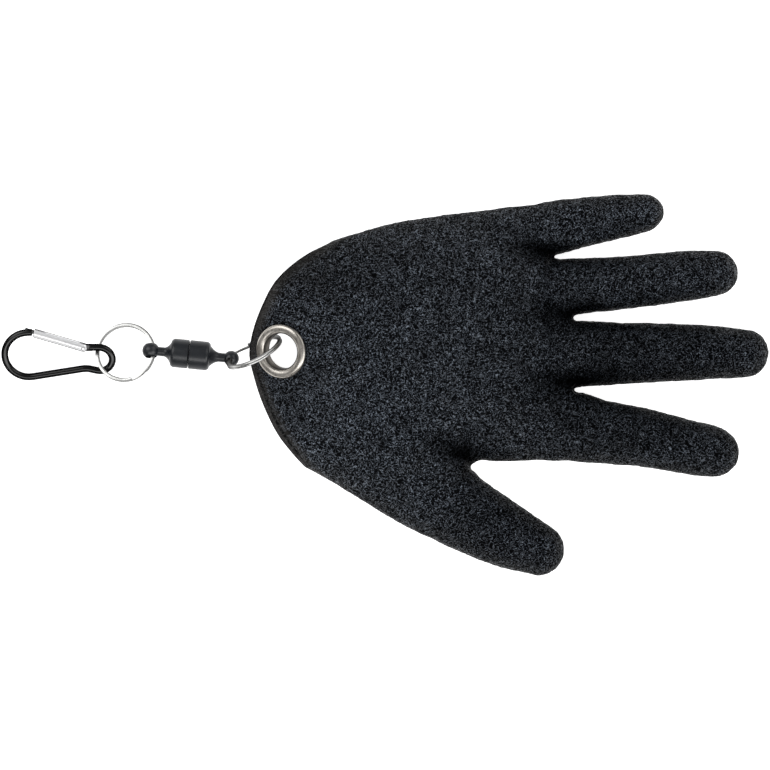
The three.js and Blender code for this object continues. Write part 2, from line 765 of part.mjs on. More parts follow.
function gateSolid() {
  const radius = gateDiameter / 2;
  const profile = [[0, gateLength], [radius, gateLength], [radius, 0]];
  for (let k = 1; k < gateEndSteps; k += 1) {
    const turn = (Math.PI / 2) * (k / gateEndSteps);
    profile.push([radius * Math.cos(turn), -radius * Math.sin(turn)]);
  }
  profile.push([0, -radius]);
  const tube = revolve(profile.reverse(), gateSides);
  tube.rotateY(Math.PI / 2);
  const width = tongueThickness + 2 * clearance;
  const pivotSlot = new THREE.BoxGeometry(pivotSlotDepth, 2 * gateDiameter, width);
  const slotEnd = pivotTongueWidth / 2 + 2 * clearance;
  pivotSlot.translate(slotEnd - pivotSlotDepth / 2, 0, 0);
  const noseSlot = new THREE.BoxGeometry(2 * noseSlotDepth, gateDiameter, width);
  noseSlot.translate(gateLength, clearance - noseTongueFoot - radius, 0);
  const hole = rod(rivetDiameter / 2 + clearance, 2 * gateDiameter, rivetSides);
  return toSolid(tube)
    .subtract(toSolid(pivotSlot))
    .subtract(toSolid(noseSlot))
    .subtract(toSolid(hole));
}

// Materials

function finish(color, roughness, metalness) {
  return new THREE.MeshStandardMaterial({ color, roughness, metalness });
}

// Assembly

const model = new THREE.Group();

model.add(namedMesh('glove_shell', gloveSolid(), finish('#23272c', 0.75, 0)));

const eyelet = new THREE.Group();
eyelet.position.copy(eyeletCentre);
eyelet.quaternion.copy(eyeletTurn);
eyelet.add(namedMesh('eyelet', eyeletSolid(), finish('#b9b4aa', 0.35, 1)));
eyelet.add(namedMesh('eyelet_washer', washerSolid(), finish('#b0aca3', 0.4, 1)));
model.add(eyelet);

function placeRing(name, frame, centre, split) {
  const mesh = namedMesh(name, splitRingSolid(), finish('#c4c6c8', 0.25, 1));
  mesh.quaternion.setFromRotationMatrix(frame.basis);
  mesh.rotateZ(degToRad(split));
  mesh.position.copy(centre);
  model.add(mesh);
}

placeRing('split_ring_glove', gloveRing, gloveRingCentre, gloveRingSplit);
placeRing('split_ring_clip', clipRing, clipRingCentre, clipRingSplit);

const release = new THREE.Group();
release.position.copy(seamCentre);
release.quaternion.copy(releaseTurn);
const gloveHalf = halfSolid({
  length: gloveHalfLength,
  flareLength: gloveFlareLength,
  neckReach: gloveNeckReach,
  ball: gloveEyeBall,
  hole: gloveEyeHole,
  tangent: gloveEyeTangent,
  side: 1,
});
const clipHalf = halfSolid({
  length: clipHalfLength,
  flareLength: clipFlareLength,
  neckReach: clipNeckReach,
  ball: clipEyeBall,
  hole: clipEyeHole,
  tangent: clipEyeTangent,
  side: -1,
});
release.add(namedMesh('magnet_half_glove', gloveHalf, finish('#303235', 0.45, 0)));
release.add(namedMesh('magnet_half_clip', clipHalf, finish('#2f3134', 0.45, 0)));
release.add(namedMesh('magnet_disc_glove', magnetSolid(1), finish('#a9abad', 0.3, 1)));
release.add(namedMesh('magnet_disc_clip', magnetSolid(-1), finish('#a8aaac', 0.3, 1)));
model.add(release);

const carabiner = new THREE.Group();
carabiner.rotation.x = degToRad(carabinerTilt);
const hang = clipRingCentre.clone().add(clipRing.point(degToRad(loopOnRing)));
hang.x += loopSlack;
const lowestRod = (bigBendRadius - loopDrop) * Math.sin(degToRad(carabinerTilt)) + rodDiameter / 2;
carabiner.position.set(hang.x, hang.y, lowestRod + floorGap);
carabiner.add(namedMesh('carabiner_body', carabinerSolid(), finish('#101113', 0.2, 0.2)));

const gate = new THREE.Group();
gate.position.copy(pivot);
gate.rotation.z = Math.atan2(gateHeading.y, gateHeading.x);
gate.add(namedMesh('carabiner_gate', gateSolid(), finish('#c9cbcd', 0.25, 1)));
carabiner.add(gate);

const rivetSolid = toSolid(rod(rivetDiameter / 2, gateDiameter + clearance, rivetSides));
const rivet = namedMesh('gate_pivot', rivetSolid, finish('#b4b6b8', 0.3, 1));
rivet.position.copy(pivot);
carabiner.add(rivet);
model.add(carabiner);

model.updateMatrixWorld(true);
const bounds = new THREE.Box3().setFromObject(model, true);
const middle = bounds.getCenter(new THREE.Vector3());
model.position.set(-middle.x, -middle.y, -bounds.min.z);

const part = new THREE.Group();
part.add(model);

export default part;
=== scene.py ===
import math

import bmesh
import bpy
import numpy as np
from mathutils import Matrix, Vector, noise
from mathutils.bvhtree import BVHTree
from mathutils.kdtree import KDTree


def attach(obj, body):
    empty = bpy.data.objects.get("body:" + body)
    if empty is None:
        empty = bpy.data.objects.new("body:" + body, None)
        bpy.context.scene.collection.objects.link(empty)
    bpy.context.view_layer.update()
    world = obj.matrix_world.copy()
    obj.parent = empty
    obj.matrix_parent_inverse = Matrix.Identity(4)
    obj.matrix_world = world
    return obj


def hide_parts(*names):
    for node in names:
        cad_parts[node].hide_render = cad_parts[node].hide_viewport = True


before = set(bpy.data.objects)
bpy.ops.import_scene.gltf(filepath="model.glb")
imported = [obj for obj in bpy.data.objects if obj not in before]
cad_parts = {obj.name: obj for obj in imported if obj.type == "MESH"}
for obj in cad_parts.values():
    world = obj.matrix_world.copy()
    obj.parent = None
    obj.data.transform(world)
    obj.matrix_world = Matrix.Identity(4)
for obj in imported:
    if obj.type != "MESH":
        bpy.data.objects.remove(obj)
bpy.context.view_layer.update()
mm = 0.001
scene = bpy.context.scene


# Node trees

def put(tree, kind, inputs=None, **settings):
    node = tree.nodes.new(kind)
    for key, value in settings.items():
        setattr(node, key, value)
    for key, value in (inputs or {}).items():
        if isinstance(value, bpy.types.NodeSocket):
            tree.links.new(value, node.inputs[key])
        else:
            node.inputs[key].default_value = value
    return node


def calc(tree, operation, first, second=0.0, clamp=False):
    values = {0: first, 1: second}
    return put(tree, "ShaderNodeMath", values, operation=operation, use_clamp=clamp).outputs[0]


def vectorCalc(tree, operation, first, second):
    values = {0: first, 1: second}
    return put(tree, "ShaderNodeVectorMath", values, operation=operation).outputs[0]


def scaleVector(tree, vector, scale):
    values = {0: vector, "Scale": scale}
    return put(tree, "ShaderNodeVectorMath", values, operation="SCALE").outputs[0]


# Goes smoothly from one end value to the other while the value crosses the limits
def ramp(tree, value, limits, ends=(0.0, 1.0)):
    values = {"Value": value, 1: limits[0], 2: limits[1], 3: ends[0], 4: ends[1]}
    return put(tree, "ShaderNodeMapRange", values, interpolation_type="SMOOTHSTEP").outputs[0]


def blendColour(tree, share, first, second):
    values = {0: share, 6: first, 7: second}
    return put(tree, "ShaderNodeMix", values, data_type="RGBA").outputs[2]


def blendValue(tree, share, first, second):
    values = {0: share, 2: first, 3: second}
    return put(tree, "ShaderNodeMix", values, data_type="FLOAT").outputs[0]


def addNoise(tree, point, scale, detail, roughness=0.5):
    values = {"Vector": point, "Scale": scale, "Detail": detail, "Roughness": roughness}
    return put(tree, "ShaderNodeTexNoise", values).outputs


def objectPoint(tree):
    return tree.nodes.new("ShaderNodeTexCoord").outputs["Object"]


def attribute(tree, name):
    return put(tree, "ShaderNodeAttribute", attribute_name=name).outputs["Fac"]


def facing(tree):
    return put(tree, "ShaderNodeLayerWeight", {"Blend": 0.5}).outputs["Facing"]


def addBump(tree, shader, height, distance, strength):
    values = {"Strength": strength, "Distance": distance, "Height": height}
    tree.links.new(put(tree, "ShaderNodeBump", values).outputs[0], shader["Normal"])


# Every group takes a point and one number, and puts out heights or masks
def newGroup(name, setting, value, outputs):
    tree = bpy.data.node_groups.new(name, "ShaderNodeTree")
    sockets = tree.interface
    sockets.new_socket(name="Point", in_out="INPUT", socket_type="NodeSocketVector")
    number = sockets.new_socket(name=setting, in_out="INPUT", socket_type="NodeSocketFloat")
    number.default_value = value
    for label in outputs:
        sockets.new_socket(name=label, in_out="OUTPUT", socket_type="NodeSocketFloat")
    return tree, tree.nodes.new("NodeGroupInput").outputs, tree.nodes.new("NodeGroupOutput").inputs


def useGroup(tree, name, **inputs):
    return put(tree, "ShaderNodeGroup", inputs, node_tree=bpy.data.node_groups[name]).outputs


def newMaterial(name, **sockets):
    material = bpy.data.materials.new(name)
    material.use_nodes = True
    tree = material.node_tree
    shader = tree.nodes["Principled BSDF"]
    for key, value in sockets.items():
        shader.inputs[key.replace("_", " ")].default_value = value
    return material, tree, shader.inputs


# Scales and lengths of the patterns below are per metre and in metres
crinkleShape = {
    "scale": 500.0, "warpScale": 330.0, "warpReach": 0.0022, "wormDetail": 1.2, "wormRoughness": 0.55,
    "ridgeWidth": 0.09, "ridgeShare": 0.62, "grainFiner": 2.3, "grainShare": 0.55,
    "glintFrom": (0.52, 0.66), "patchScale": 95.0, "patchDetail": 2.0,
}
knitShape = {"gauge": 0.0014, "fullTurn": 6.2832, "lean": 1.6, "loop": (0.35, 1.0)}
wearShape = {
    "scale": 900.0, "cloudScale": 160.0, "cloudDetail": 3.0,
    "pull": (1.0, 0.12, 1.0), "lineDetail": 4.0, "lineRoughness": 0.7,
}


# Worm-like ridges of dried latex: thin lines where a warped noise passes its middle value
def buildCrinkle():
    s = crinkleShape
    tree, given, out = newGroup("crinkle", "Scale", s["scale"], ("Height", "Speck", "Patch"))
    warp = addNoise(tree, given["Point"], s["warpScale"], 1.0)["Color"]
    shift = vectorCalc(tree, "SUBTRACT", warp, (0.5, 0.5, 0.5))
    point = vectorCalc(tree, "ADD", given["Point"], scaleVector(tree, shift, s["warpReach"]))
    worm = addNoise(tree, point, given["Scale"], s["wormDetail"], s["wormRoughness"])[0]
    away = calc(tree, "ABSOLUTE", calc(tree, "SUBTRACT", worm, 0.5))
    ridge = ramp(tree, away, (0.0, s["ridgeWidth"]), (1.0, 0.0))
    finer = calc(tree, "MULTIPLY", given["Scale"], s["grainFiner"])
    grain = addNoise(tree, point, finer, 1.0)[0]
    patch = addNoise(tree, given["Point"], s["patchScale"], s["patchDetail"])[0]
    ridgePart = calc(tree, "MULTIPLY", ridge, s["ridgeShare"])
    grainPart = calc(tree, "MULTIPLY", grain, s["grainShare"])
    tree.links.new(calc(tree, "ADD", ridgePart, grainPart), out["Height"])
    # Mask for painted glints: peaks of the fine grain on the ridges
    tree.links.new(calc(tree, "MULTIPLY", ramp(tree, grain, s["glintFrom"]), ridge), out["Speck"])
    tree.links.new(patch, out["Patch"])


# Rows of knitted loops, for the cloth that the latex doesn't cover
def buildKnit():
    s = knitShape
    tree, given, out = newGroup("knit", "Gauge", s["gauge"], ("Height",))
    size = calc(tree, "DIVIDE", s["fullTurn"], given["Gauge"])
    apart = put(tree, "ShaderNodeSeparateXYZ", {0: given["Point"]}).outputs
    across = calc(tree, "SINE", calc(tree, "MULTIPLY", apart["Y"], size))
    lean = calc(tree, "MULTIPLY", calc(tree, "ABSOLUTE", across), s["lean"])
    along = calc(tree, "SINE", calc(tree, "ADD", calc(tree, "MULTIPLY", apart["X"], size), lean))
    loop = ramp(tree, along, (-1.0, 1.0), s["loop"])
    height = calc(tree, "MULTIPLY", calc(tree, "ABSOLUTE", across), loop)
    tree.links.new(height, out["Height"])


# Slow change of tone and fine hairlines, for plated and painted metal
def buildWear():
    s = wearShape
    tree, given, out = newGroup("wear", "Scale", s["scale"], ("Cloud", "Hairline"))
    cloud = addNoise(tree, given["Point"], s["cloudScale"], s["cloudDetail"])[0]
    pulled = put(tree, "ShaderNodeMapping", {"Vector": given["Point"], "Scale": s["pull"]}).outputs[0]
    lines = addNoise(tree, pulled, given["Scale"], s["lineDetail"], s["lineRoughness"])[0]
    tree.links.new(cloud, out["Cloud"])
    tree.links.new(lines, out["Hairline"])


buildCrinkle()
buildKnit()
buildWear()


# Pairs are the limits between which one look goes over into the next, or the two looks' values
gloveFinish = {
    # The valley colour is painted shade in the crinkles' hollows, the ridge colour a painted sheen on their
    # crests, and the speck colour painted glints
    "valleyShade": (0.0006, 0.0008, 0.0012, 1), "ground": (0.0042, 0.0057, 0.0084, 1),
    "ridge": (0.0440, 0.0540, 0.0700, 1), "speckGlint": (0.1600, 0.1900, 0.2300, 1),
    # The seam colour is painted shade in the hem's groove and a painted shadow line along the upper edge
    "hem": (0.0190, 0.0180, 0.0172, 1), "seam": (0.0010, 0.0010, 0.0012, 1),
    "knit": (0.036, 0.037, 0.040, 1), "knitGap": (0.009, 0.0095, 0.0105, 1),
    "crinkleScale": 840.0, "bump": 0.00040, "groundFrom": (0.28, 0.56), "ridgeFrom": (0.60, 0.92),
    "coatFrom": (1.6, 7.5), "grooveAt": 2.5, "grooveWidth": (0.35, 0.80), "grooveDepth": 0.8,
    "edgeShadowWidth": (0.5, 1.1), "upperFrom": (0.002, 0.014), "edgeShadeShare": 0.97,
    "patchFrom": (0.3, 0.7), "patchTone": (0.78, 1.22), "knitFrom": (0.1, 0.8),
    "roughFrom": (0.3, 0.95), "rough": (0.58, 0.30), "hemRough": 0.48, "knitRough": 0.9,
    "shineFrom": (0.35, 0.9), "shine": (0.03, 0.45), "knitMatt": 0.7,
}


def gloveMaterial():
    look = gloveFinish
    material, tree, shader = newMaterial("crinkleLatex", Roughness=0.5, Specular_IOR_Level=0.3)
    point = objectPoint(tree)
    rim = attribute(tree, "rimDistance")
    bare = attribute(tree, "bareKnit")
    tone = attribute(tree, "tone")
    crinkle = useGroup(tree, "crinkle", Point=point, Scale=look["crinkleScale"])
    height = crinkle["Height"]
    knit = useGroup(tree, "knit", Point=point)
    coat = ramp(tree, rim, look["coatFrom"])

    # The crinkles' valleys get painted shade, their ridges a painted sheen, and painted glints sit on the
    # ridges. The hem has a sewn groove on the thumb's side of the eyelet, darkened with painted shade, and
    # a painted shadow line along the edge past it
    colour = blendColour(tree, ramp(tree, height, look["groundFrom"]), look["valleyShade"], look["ground"])
    colour = blendColour(tree, ramp(tree, height, look["ridgeFrom"]), colour, look["ridge"])
    colour = blendColour(tree, crinkle["Speck"], colour, look["speckGlint"])
    colour = blendColour(tree, coat, look["hem"], colour)
    across = put(tree, "ShaderNodeSeparateXYZ", {0: point}).outputs["Y"]
    upper = ramp(tree, across, look["upperFrom"])
    fromGroove = calc(tree, "ABSOLUTE", calc(tree, "SUBTRACT", rim, look["grooveAt"]))
    groove = ramp(tree, fromGroove, look["grooveWidth"], (1.0, 0.0))
    groove = calc(tree, "MULTIPLY", groove, calc(tree, "SUBTRACT", 1.0, upper))
    # Painted shadow line along the edge, and painted shade in the groove
    line = calc(tree, "MULTIPLY", ramp(tree, rim, look["edgeShadowWidth"], (1.0, 0.0)), upper)
    dark = calc(tree, "MULTIPLY", calc(tree, "MAXIMUM", groove, line), look["edgeShadeShare"])
    colour = blendColour(tree, dark, colour, look["seam"])
    patch = ramp(tree, crinkle["Patch"], look["patchFrom"], look["patchTone"])
    toned = scaleVector(tree, colour, calc(tree, "MULTIPLY", tone, patch))
    cloth = blendColour(tree, ramp(tree, knit["Height"], look["knitFrom"]), look["knitGap"], look["knit"])
    tree.links.new(blendColour(tree, bare, toned, cloth), shader["Base Color"])

    rough = ramp(tree, height, look["roughFrom"], look["rough"])
    rough = blendValue(tree, coat, look["hemRough"], rough)
    rough = blendValue(tree, bare, rough, look["knitRough"])
    tree.links.new(rough, shader["Roughness"])
    covered = calc(tree, "SUBTRACT", 1.0, calc(tree, "MULTIPLY", bare, look["knitMatt"]))
    shine = ramp(tree, height, look["shineFrom"], look["shine"])
    shine = calc(tree, "MULTIPLY", shine, calc(tree, "MULTIPLY", covered, tone, clamp=True))
    tree.links.new(shine, shader["Specular IOR Level"])

    sunk = calc(tree, "MULTIPLY", groove, look["grooveDepth"])
    raised = calc(tree, "SUBTRACT", calc(tree, "MULTIPLY", height, coat), sunk)
    addBump(tree, shader, blendValue(tree, bare, raised, knit["Height"]), look["bump"], 1.0)
    return material


# Each finish's edge value is how strongly painted shade darkens it at grazing edges
metalFinishes = {
    "satinNickel": {
        "light": (0.52, 0.49, 0.45, 1), "dark": (0.38, 0.355, 0.32, 1),
        "rough": (0.24, 0.38), "bump": 0.00002, "metallic": 1.0, "edge": 0.0,
    },
    "polishedSteel": {
        "light": (0.56, 0.56, 0.55, 1), "dark": (0.42, 0.42, 0.41, 1),
        "rough": (0.26, 0.32), "bump": 0.000002, "metallic": 1.0, "edge": 0.5,
    },
    "magnetPlate": {
        "light": (0.62, 0.63, 0.64, 1), "dark": (0.46, 0.47, 0.48, 1),
        "rough": (0.22, 0.36), "bump": 0.00001, "metallic": 1.0, "edge": 0.0,
    },
    "gateAluminium": {
        "light": (0.90, 0.90, 0.91, 1), "dark": (0.82, 0.82, 0.83, 1),
        "rough": (0.28, 0.34), "bump": 0.000002, "metallic": 0.58, "edge": 0.85,
    },
}
metalWearAndShade = {
    "hairlines": 1400.0, "cloudFrom": (0.35, 0.65), "roughFrom": (0.3, 0.7), "edgeShadeFrom": (0.25, 0.65),
    "tint": (0.25, 0.25, 0.26, 1), "shaded": (0.05, 0.048, 0.045, 1), "strength": 0.6,
}


def metalMaterial(name):
    look = metalFinishes[name]
    worn = metalWearAndShade
    material, tree, shader = newMaterial(name, Metallic=look["metallic"], Specular_Tint=worn["tint"])
    wear = useGroup(tree, "wear", Point=objectPoint(tree), Scale=worn["hairlines"])
    colour = blendColour(tree, ramp(tree, wear["Cloud"], worn["cloudFrom"]), look["dark"], look["light"])
    # Painted shade: the base colour goes towards the shaded colour at grazing edges and on the eyelet's lip
    edge = calc(tree, "MULTIPLY", ramp(tree, facing(tree), worn["edgeShadeFrom"]), look["edge"])
    shaded = calc(tree, "MAXIMUM", attribute(tree, "tarnish"), edge)
    tree.links.new(blendColour(tree, shaded, colour, worn["shaded"]), shader["Base Color"])
    tree.links.new(ramp(tree, wear["Hairline"], worn["roughFrom"], look["rough"]), shader["Roughness"])
    addBump(tree, shader, wear["Hairline"], look["bump"], worn["strength"])
    return material


darkFinishes = {
    "releaseBlack": {
        "light": (0.0105, 0.0125, 0.0160, 1), "dark": (0.0072, 0.0087, 0.0115, 1),
        "rough": (0.30, 0.40), "bump": 0.00003, "shine": (0.50, 0.20),
    },
    "glossBlack": {
        "light": (0.0008, 0.0008, 0.0010, 1), "dark": (0.0004, 0.0004, 0.0005, 1),
        "rough": (0.12, 0.20), "bump": 0.000004, "shine": (0.42, 0.0),
    },
}
darkWear = {
    "hairlines": 1100.0, "grain": 4200.0, "grainDetail": 2.0, "cloudFrom": (0.3, 0.7),
    "roughFrom": (0.3, 0.7), "shineFrom": (0.04, 0.38), "strength": 0.5,
}


def darkMaterial(name):
    look = darkFinishes[name]
    worn = darkWear
    material, tree, shader = newMaterial(name)
    point = objectPoint(tree)
    wear = useGroup(tree, "wear", Point=point, Scale=worn["hairlines"])
    colour = blendColour(tree, ramp(tree, wear["Cloud"], worn["cloudFrom"]), look["dark"], look["light"])
    tree.links.new(colour, shader["Base Color"])
    tree.links.new(ramp(tree, wear["Hairline"], worn["roughFrom"], look["rough"]), shader["Roughness"])
    shine = ramp(tree, facing(tree), worn["shineFrom"], look["shine"])
    tree.links.new(shine, shader["Specular IOR Level"])
    grain = addNoise(tree, point, worn["grain"], worn["grainDetail"])[0]
    addBump(tree, shader, grain, look["bump"], worn["strength"])
    return material


latex = gloveMaterial()
nickel = metalMaterial("satinNickel")
steel = metalMaterial("polishedSteel")
magnetPlate = metalMaterial("magnetPlate")
gateMetal = metalMaterial("gateAluminium")
releaseBlack = darkMaterial("releaseBlack")
glossBlack = darkMaterial("glossBlack")
print("materials ready")


# Pieces

def addPiece(name, mesh, material, body, node):
    piece = bpy.data.objects.new(name, mesh)
    scene.collection.objects.link(piece)
    mesh.materials.clear()
    mesh.materials.append(material)
    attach(piece, body)
    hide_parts(node)


def smoothMesh(mesh, angle):
    mesh.shade_smooth()
    mesh.set_sharp_from_angle(angle=math.radians(angle))
    return mesh


mergeGap = 0.002


# Turns a bmesh in millimetres into a mesh at its place in the frame
def closeMesh(name, bm, place, smoothAngle=32):
    bmesh.ops.remove_doubles(bm, verts=bm.verts, dist=mergeGap)
    bmesh.ops.recalc_face_normals(bm, faces=bm.faces)
    bmesh.ops.transform(bm, matrix=place @ Matrix.Scale(mm, 4), verts=bm.verts)
    mesh = bpy.data.meshes.new(name)
    bm.to_mesh(mesh)
    bm.free()
    return smoothMesh(mesh, smoothAngle)


# Place in the shared frame: the point in millimetres and two of the piece's own axes
def placeAt(point, xAxis, zAxis):
    z = Vector(zAxis).normalized()
    x = (Vector(xAxis) - z * Vector(xAxis).dot(z)).normalized()
    y = z.cross(x)
    turn = Matrix((x, y, z)).transposed().to_4x4()
    return Matrix.Translation(Vector(point) * mm) @ turn


def addLine(bm, points):
    verts = [bm.verts.new(point) for point in points]
    edges = [bm.edges.new(pair) for pair in zip(verts, verts[1:])]
    return verts + edges


def spinProfile(bm, profile, steps):
    geom = addLine(bm, [(radius, 0, height) for radius, height in profile])
    bmesh.ops.spin(bm, geom=geom, cent=(0, 0, 0), axis=(0, 0, 1), dvec=(0, 0, 0),
                   angle=2 * math.pi, steps=steps, use_merge=True, use_normal_flip=False,
                   use_duplicate=False)
    bmesh.ops.remove_doubles(bm, verts=bm.verts, dist=mergeGap)
    bmesh.ops.recalc_face_normals(bm, faces=bm.faces)


def softenEdges(bm, width, angle=28):
    limit = math.radians(angle)
    sharp = [e for e in bm.edges if len(e.link_faces) == 2 and e.calc_face_angle(0) > limit]
    bmesh.ops.bevel(bm, geom=sharp, offset=width, offset_type="OFFSET", segments=3,
                    profile=0.5, affect="EDGES", clamp_overlap=True, material=-1)


def addCylinder(bm, radius, length, sides=32):
    made = bmesh.ops.create_cone(bm, cap_ends=True, cap_tris=False, segments=sides,
                                 radius1=radius, radius2=radius, depth=length)
    return made["verts"]


def addBlock(bm, size):
    verts = bmesh.ops.create_cube(bm, size=1.0)["verts"]
    bmesh.ops.scale(bm, vec=size, verts=verts)
    return verts


def cylinderMesh(radius, length, place):
    bm = bmesh.new()
    addCylinder(bm, radius, length)
    return closeMesh("cutter", bm, place)


def boxMesh(size, centre, place):
    bm = bmesh.new()
    verts = addBlock(bm, size)
    bmesh.ops.translate(bm, vec=centre, verts=verts)
    return closeMesh("cutter", bm, place)


# The mesh that an object's modifiers make
def finalMesh(obj):
    bpy.context.view_layer.update()
    shown = obj.evaluated_get(bpy.context.evaluated_depsgraph_get())
    return bpy.data.meshes.new_from_object(shown)


def cutWith(mesh, cutters, smoothAngle):
    body = bpy.data.objects.new("cutBody", mesh)
    scene.collection.objects.link(body)
    tools = []
    for cutter in cutters:
        tool = bpy.data.objects.new("cutTool", cutter)
        scene.collection.objects.link(tool)
        cut = body.modifiers.new("cut", "BOOLEAN")
        cut.operation = "DIFFERENCE"
        cut.solver = "EXACT"
        cut.object = tool
        tools.append(tool)
    result = finalMesh(body)
    for obj in [body] + tools:
        bpy.data.objects.remove(obj)
    return smoothMesh(result, smoothAngle)


# Glove

glove = {
    "voxel": 1.16, "weld": 1e-6, "smoothing": (0.5, -0.51), "smoothPasses": 34,
    "rimRounds": 3, "rimPasses": 4, "rimHold": 1.3, "rimReach": 4.0, "rimKeep": 0.15, "rimGap": 1e-6,
    "rimStep": 0.4, "hemLift": 0.18, "hemMiddle": 1.2, "hemSpread": 0.9,
    "crinkle": 0.20, "crinkleSize": 2.3, "puckers": 0.22, "puckerSize": 5.5,
    "swells": 0.30, "swellSize": 19.0, "fadeStart": 2.5, "fadeLength": 6.0,
    "eyelet": (-46.345, 15.176, 16.5), "eyeletTilt": 25.0, "eyeletRoll": 8.0,
    "holeRadius": 9.0, "holeDepth": 4, "holeRim": 11.5, "underFlange": 12.6, "flatRing": 17.0,
    "mouthReach": -8.0, "backEdgeHeight": 5.2, "backEdgeSlack": 0.01, "wallSlope": 0.004, "capSlope": 0.999,
    "restStart": 0.3, "restLength": 2.0, "lowest": 0.02,
    "dipLine": 3.2, "dipRipple": 0.9, "rippleSize": 9, "dipBlur": 0.8, "dipSlope": 0.25,
    # Tone of the cloth, darker towards the fingers, with painted shade on the sides that face away from up
    # and painted shade in the finger hollows
    "wristTone": 1.20, "toneDrop": 0.20, "dropStart": -60, "dropLength": 150,
    "sideShade": 0.4, "sideNormal": 0.45, "topNormal": 0.99, "hollowShade": 0.97,
}

# Broad patches of painted light and shade, darker or lighter than the rest: place, half lengths and change
# of tone
lightAndShadePatches = [
    {"x": 120, "y": 3, "long": 64, "wide": 42, "change": -0.52},
    {"x": 60, "y": -62, "long": 45, "wide": 24, "change": -0.42},
    {"x": -45, "y": -25, "long": 40, "wide": 28, "change": 0.16},
    {"x": -35, "y": 50, "long": 60, "wide": 14, "change": -0.35},
]

# Painted shade in the deep hollows where the fingers part, which take little light: place, half lengths and
# heading
shadedHollows = [
    {"x": 72.0, "y": 60.4, "long": 14.0, "wide": 5.4, "heading": -8},
    {"x": 84.0, "y": 32.0, "long": 20.0, "wide": 6.2, "heading": 0},
    {"x": 86.5, "y": 1.2, "long": 20.0, "wide": 6.6, "heading": 2},
    {"x": 34.5, "y": -30.6, "long": 15.0, "wide": 6.0, "heading": -22},
]


# Labels every face of the CAD shell as outer skin, inner skin or cut edge, and gathers the
# rim's points: those of the mouth's cut edges, without the eyelet's hole
def readShell():
    g = glove
    bm = bmesh.new()
    bm.from_mesh(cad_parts["glove_shell"].data)
    bmesh.ops.remove_doubles(bm, verts=bm.verts, dist=g["weld"])
    bm.faces.ensure_lookup_table()
    tilt = math.radians(g["eyeletTilt"]), math.radians(g["eyeletRoll"])
    axis = Vector((-math.tan(tilt[0]), -math.tan(tilt[1]), 1)).normalized()
    centre = Vector(g["eyelet"]) * mm

    # Distances from the eyelet's axis and along it
    def fromEyelet(point):
        offset = point - centre
        along = offset.dot(axis)
        return (offset - axis * along).length, abs(along)

    def isCut(face):
        middle = face.calc_center_median()
        away, along = fromEyelet(middle)
        if away < g["holeRadius"] * mm and along < g["holeDepth"] * mm:
            return True
        if middle.x > g["mouthReach"] * mm:
            return False
        isWall = abs(face.normal.z) < g["wallSlope"]
        fromBackEdge = abs(middle.z - g["backEdgeHeight"] * mm)
        isCap = abs(face.normal.z) > g["capSlope"] and fromBackEdge < g["backEdgeSlack"] * mm
        return isWall or isCap

    cut = {face.index for face in bm.faces if isCut(face)}
    label = np.full(len(bm.faces), -1)
    tops = []
    for face in bm.faces:
        if label[face.index] >= 0 or face.index in cut:
            continue
        island = len(tops)
        label[face.index] = island
        waiting, top = [face], 0.0
        while waiting:
            here = waiting.pop()
            top = max(top, max(v.co.z for v in here.verts))
            for edge in here.edges:
                for beside in edge.link_faces:
                    if label[beside.index] < 0 and beside.index not in cut:
                        label[beside.index] = island
                        waiting.append(beside)
        tops.append(top)
    isOuter = label == int(np.argmax(tops))

    rimPoints = []
    for edge in bm.edges:
        kinds = [face.index in cut for face in edge.link_faces]
        if all(kinds) or not any(kinds):
            continue
        a, b = edge.verts[0].co, edge.verts[1].co
        if fromEyelet((a + b) / 2)[0] < g["holeRim"] * mm:
            continue
        steps = max(1, int((b - a).length / (g["rimStep"] * mm)))
        rimPoints += [a.lerp(b, k / steps) for k in range(steps + 1)]
    skin = BVHTree.FromBMesh(bm)
    bm.free()
    print("glove shell read:", len(tops), "skins,", len(rimPoints), "rim points")
    return skin, isOuter, rimPoints, axis, centre


# A skin of small even faces over the CAD shell, inside and out
def remeshShell():
    shell = bpy.data.objects.new("shellCopy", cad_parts["glove_shell"].data.copy())
    scene.collection.objects.link(shell)
    bm = bmesh.new()
    bm.from_mesh(shell.data)
    bmesh.ops.remove_doubles(bm, verts=bm.verts, dist=glove["weld"])
    bm.to_mesh(shell.data)
    bm.free()
    voxels = shell.modifiers.new("voxels", "REMESH")
    voxels.mode = "VOXEL"
    voxels.voxel_size = glove["voxel"] * mm
    mesh = finalMesh(shell)
    bpy.data.objects.remove(shell)
    mesh.name = "gloveSkin"
    print("glove remeshed:", len(mesh.vertices), "points")
    return mesh


def readArray(items, name, width, kind=float):
    values = np.empty(len(items) * width, kind)
    items.foreach_get(name, values)
    return values.reshape(-1, width)


# From 0 at the start to 1 at the end of the given length
def rise(values, start, length):
    return np.clip((values - start) / length, 0, 1)


# Slides points towards their neighbours' middle, once for each weight
def relax(points, edges, weights, share=1.0):
    first, second = edges[:, 0], edges[:, 1]
    count = np.bincount(edges.ravel(), minlength=len(points))[:, None]
    for weight in weights:
        total = np.zeros_like(points)
        for axis in range(3):
            total[:, axis] = (np.bincount(first, points[second, axis], len(points))
                              + np.bincount(second, points[first, axis], len(points)))
        points = points + weight * share * (total / count - points)
    return points


